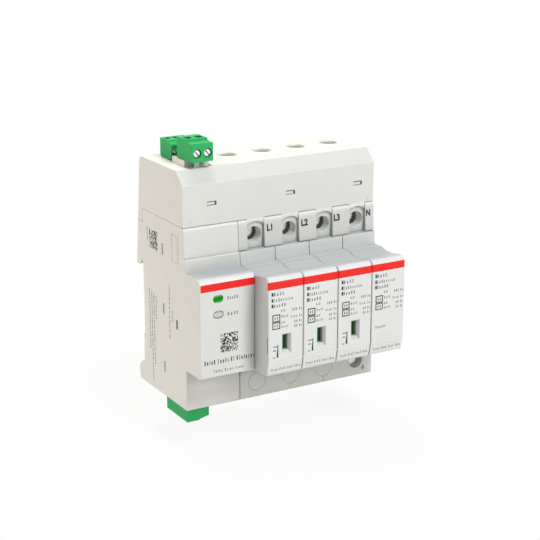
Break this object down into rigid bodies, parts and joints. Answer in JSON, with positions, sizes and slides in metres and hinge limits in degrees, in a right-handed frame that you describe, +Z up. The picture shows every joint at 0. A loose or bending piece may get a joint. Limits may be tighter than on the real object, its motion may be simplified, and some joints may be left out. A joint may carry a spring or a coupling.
{
  "type": "surge protective device",
  "caption": "Rail-mounted surge protective device: terminal base with plug-in cartridges, status windows and a monitoring module with plug-in terminal blocks.",
  "frame": {"origin": "middle of the rail seat, on the plane where the front of the rail bears", "axes": "+X along the rail to the right, +Y back towards the rail, +Z up"},
  "size_m": [0.098, 0.0742, 0.1254],
  "materials": {
    "housing_grey": "fine spark-eroded moulding",
    "cartridge_white": "fine moulding, printed face",
    "plug_green": "satin moulding",
    "header_grey": "fine moulding",
    "lamp_green": "clear tinted light guide",
    "lamp_clear": "milky light guide",
    "flag_green": "green upper half and red lower half",
    "screw_steel": "zinc plated",
    "clamp_steel": "zinc plated",
    "copper": "tinned copper",
    "board_green": "coated board",
    "component_black": "moulded components",
    "varistor_blue": "epoxy coated",
    "arrester_white": "glazed ceramic tube with metal caps",
    "clip_plastic": "slippery moulding"
  },
  "bodies": {
    "housing": {"base_housing": "housing_grey", "monitor_housing": "housing_grey", "monitor_cover": "housing_grey", "top_hood": "housing_grey", "line_bars": "copper", "earth_bar": "copper", "circuit_board": "board_green", "board_parts": "component_black", "power_lamp": "lamp_green", "signal_lamp": "lamp_clear", "supply_header": "header_grey", "relay_header": "header_grey", "sensor_header": "header_grey"},
    "cartridge_l1": {"cartridge_shell_l1": "cartridge_white", "cartridge_back_l1": "cartridge_white", "contact_blades_l1": "copper", "varistor_l1": "varistor_blue", "thermal_link_l1": "copper"},
    "cartridge_l2": {"cartridge_shell_l2": "cartridge_white", "cartridge_back_l2": "cartridge_white", "contact_blades_l2": "copper", "varistor_l2": "varistor_blue", "thermal_link_l2": "copper"},
    "cartridge_l3": {"cartridge_shell_l3": "cartridge_white", "cartridge_back_l3": "cartridge_white", "contact_blades_l3": "copper", "varistor_l3": "varistor_blue", "thermal_link_l3": "copper"},
    "cartridge_n": {"cartridge_shell_n": "cartridge_white", "cartridge_back_n": "cartridge_white", "contact_blades_n": "copper", "spark_gap_n": "arrester_white"},
    "flag_l1": {"status_flag_l1": "flag_green"},
    "flag_l2": {"status_flag_l2": "flag_green"},
    "flag_l3": {"status_flag_l3": "flag_green"},
    "screw_l1": {"terminal_screw_l1": "screw_steel"},
    "clamp_l1": {"clamp_cage_l1": "clamp_steel"},
    "screw_l2": {"terminal_screw_l2": "screw_steel"},
    "clamp_l2": {"clamp_cage_l2": "clamp_steel"},
    "screw_l3": {"terminal_screw_l3": "screw_steel"},
    "clamp_l3": {"clamp_cage_l3": "clamp_steel"},
    "screw_n": {"terminal_screw_n": "screw_steel"},
    "clamp_n": {"clamp_cage_n": "clamp_steel"},
    "screw_earth": {"terminal_screw_earth": "screw_steel"},
    "clamp_earth": {"clamp_cage_earth": "clamp_steel"},
    "supply_plug": {"supply_plug": "plug_green"},
    "supply_screw_1": {"supply_screw_1": "screw_steel"},
    "supply_screw_2": {"supply_screw_2": "screw_steel"},
    "relay_plug": {"relay_plug": "plug_green"},
    "relay_screw_1": {"relay_screw_1": "screw_steel"},
    "relay_screw_2": {"relay_screw_2": "screw_steel"},
    "relay_screw_3": {"relay_screw_3": "screw_steel"},
    "sensor_plug": {"sensor_plug": "plug_green"},
    "sensor_screw_1": {"sensor_screw_1": "screw_steel"},
    "sensor_screw_2": {"sensor_screw_2": "screw_steel"},
    "sensor_screw_3": {"sensor_screw_3": "screw_steel"},
    "sensor_screw_4": {"sensor_screw_4": "screw_steel"},
    "clip_left": {"rail_clip_left": "clip_plastic"},
    "clip_right": {"rail_clip_right": "clip_plastic"}
  },
  "joints": [
    {"name": "cartridge_l1_pull", "type": "slide", "parent": "housing", "child": "cartridge_l1", "axis": [0, -1, 0], "range_m": [0, 0.05]},
    {"name": "cartridge_l2_pull", "type": "slide", "parent": "housing", "child": "cartridge_l2", "axis": [0, -1, 0], "range_m": [0, 0.05]},
    {"name": "cartridge_l3_pull", "type": "slide", "parent": "housing", "child": "cartridge_l3", "axis": [0, -1, 0], "range_m": [0, 0.05]},
    {"name": "cartridge_n_pull", "type": "slide", "parent": "housing", "child": "cartridge_n", "axis": [0, -1, 0], "range_m": [0, 0.05]},
    {"name": "flag_l1_slide", "type": "slide", "parent": "cartridge_l1", "child": "flag_l1", "axis": [0, 0, 1], "range_m": [0, 0.0085]},
    {"name": "flag_l2_slide", "type": "slide", "parent": "cartridge_l2", "child": "flag_l2", "axis": [0, 0, 1], "range_m": [0, 0.0085]},
    {"name": "flag_l3_slide", "type": "slide", "parent": "cartridge_l3", "child": "flag_l3", "axis": [0, 0, 1], "range_m": [0, 0.0085]},
    {"name": "screw_l1_turn", "type": "hinge", "parent": "housing", "child": "screw_l1", "pos_m": [-0.01335, -0.0325, 0.0345], "axis": [0, 1, 0], "range_deg": [0, 2700.1]},
    {"name": "clamp_l1_draw", "type": "slide", "parent": "housing", "child": "clamp_l1", "axis": [0, -1, 0], "range_m": [0, 0.006]},
    {"name": "screw_l2_turn", "type": "hinge", "parent": "housing", "child": "screw_l2", "pos_m": [0.00445, -0.0325, 0.0345], "axis": [0, 1, 0], "range_deg": [0, 2700.1]},
    {"name": "clamp_l2_draw", "type": "slide", "parent": "housing", "child": "clamp_l2", "axis": [0, -1, 0], "range_m": [0, 0.006]},
    {"name": "screw_l3_turn", "type": "hinge", "parent": "housing", "child": "screw_l3", "pos_m": [0.02225, -0.0325, 0.0345], "axis": [0, 1, 0], "range_deg": [0, 2700.1]},
    {"name": "clamp_l3_draw", "type": "slide", "parent": "housing", "child": "clamp_l3", "axis": [0, -1, 0], "range_m": [0, 0.006]},
    {"name": "screw_n_turn", "type": "hinge", "parent": "housing", "child": "screw_n", "pos_m": [0.04005, -0.0325, 0.0345], "axis": [0, 1, 0], "range_deg": [0, 2700.1]},
    {"name": "clamp_n_draw", "type": "slide", "parent": "housing", "child": "clamp_n", "axis": [0, -1, 0], "range_m": [0, 0.006]},
    {"name": "screw_earth_turn", "type": "hinge", "parent": "housing", "child": "screw_earth", "pos_m": [0.04005, -0.0325, -0.03405], "axis": [0, 1, 0], "range_deg": [0, 2700.1]},
    {"name": "clamp_earth_draw", "type": "slide", "parent": "housing", "child": "clamp_earth", "axis": [0, -1, 0], "range_m": [0, 0.006]},
    {"name": "supply_plug_pull", "type": "slide", "parent": "housing", "child": "supply_plug", "axis": [0, 0, 1], "range_m": [0, 0.012]},
    {"name": "supply_screw_1_turn", "type": "hinge", "parent": "supply_plug", "child": "supply_screw_1", "pos_m": [-0.03951, -0.0365, 0.07285], "axis": [0, 1, 0], "range_deg": [0, 1440]},
    {"name": "supply_screw_2_turn", "type": "hinge", "parent": "supply_plug", "child": "supply_screw_2", "pos_m": [-0.03443, -0.0365, 0.07285], "axis": [0, 1, 0], "range_deg": [0, 1440]},
    {"name": "relay_plug_pull", "type": "slide", "parent": "housing", "child": "relay_plug", "axis": [0, 0, 1], "range_m": [0, 0.012]},
    {"name": "relay_screw_1_turn", "type": "hinge", "parent": "relay_plug", "child": "relay_screw_1", "pos_m": [-0.03984, -0.0164, 0.07055], "axis": [0, 1, 0], "range_deg": [0, 1440]},
    {"name": "relay_screw_2_turn", "type": "hinge", "parent": "relay_plug", "child": "relay_screw_2", "pos_m": [-0.03603, -0.0164, 0.07055], "axis": [0, 1, 0], "range_deg": [0, 1440]},
    {"name": "relay_screw_3_turn", "type": "hinge", "parent": "relay_plug", "child": "relay_screw_3", "pos_m": [-0.03222, -0.0164, 0.07055], "axis": [0, 1, 0], "range_deg": [0, 1440]},
    {"name": "sensor_plug_pull", "type": "slide", "parent": "housing", "child": "sensor_plug", "axis": [0, 0, -1], "range_m": [0, 0.012]},
    {"name": "sensor_screw_1_turn", "type": "hinge", "parent": "sensor_plug", "child": "sensor_screw_1", "pos_m": [-0.03835, -0.03916, -0.04365], "axis": [-1, 0, 0], "range_deg": [0, 1440]},
    {"name": "sensor_screw_2_turn", "type": "hinge", "parent": "sensor_plug", "child": "sensor_screw_2", "pos_m": [-0.03835, -0.03408, -0.04365], "axis": [-1, 0, 0], "range_deg": [0, 1440]},
    {"name": "sensor_screw_3_turn", "type": "hinge", "parent": "sensor_plug", "child": "sensor_screw_3", "pos_m": [-0.03835, -0.029, -0.04365], "axis": [-1, 0, 0], "range_deg": [0, 1440]},
    {"name": "sensor_screw_4_turn", "type": "hinge", "parent": "sensor_plug", "child": "sensor_screw_4", "pos_m": [-0.03835, -0.02392, -0.04365], "axis": [-1, 0, 0], "range_deg": [0, 1440]},
    {"name": "clip_left_slide", "type": "slide", "parent": "housing", "child": "clip_left", "axis": [0, 0, -1], "range_m": [0, 0.003], "stiffness_N_per_m": 500},
    {"name": "clip_right_slide", "type": "slide", "parent": "housing", "child": "clip_right", "axis": [0, 0, -1], "range_m": [0, 0.003], "stiffness_N_per_m": 500}
  ],
  "couplings": [
    {"joint": "screw_l1_turn", "follows": "clamp_l1_draw", "rad_per_m": 7854},
    {"joint": "screw_l2_turn", "follows": "clamp_l2_draw", "rad_per_m": 7854},
    {"joint": "screw_l3_turn", "follows": "clamp_l3_draw", "rad_per_m": 7854},
    {"joint": "screw_n_turn", "follows": "clamp_n_draw", "rad_per_m": 7854},
    {"joint": "screw_earth_turn", "follows": "clamp_earth_draw", "rad_per_m": 7854}
  ]
}
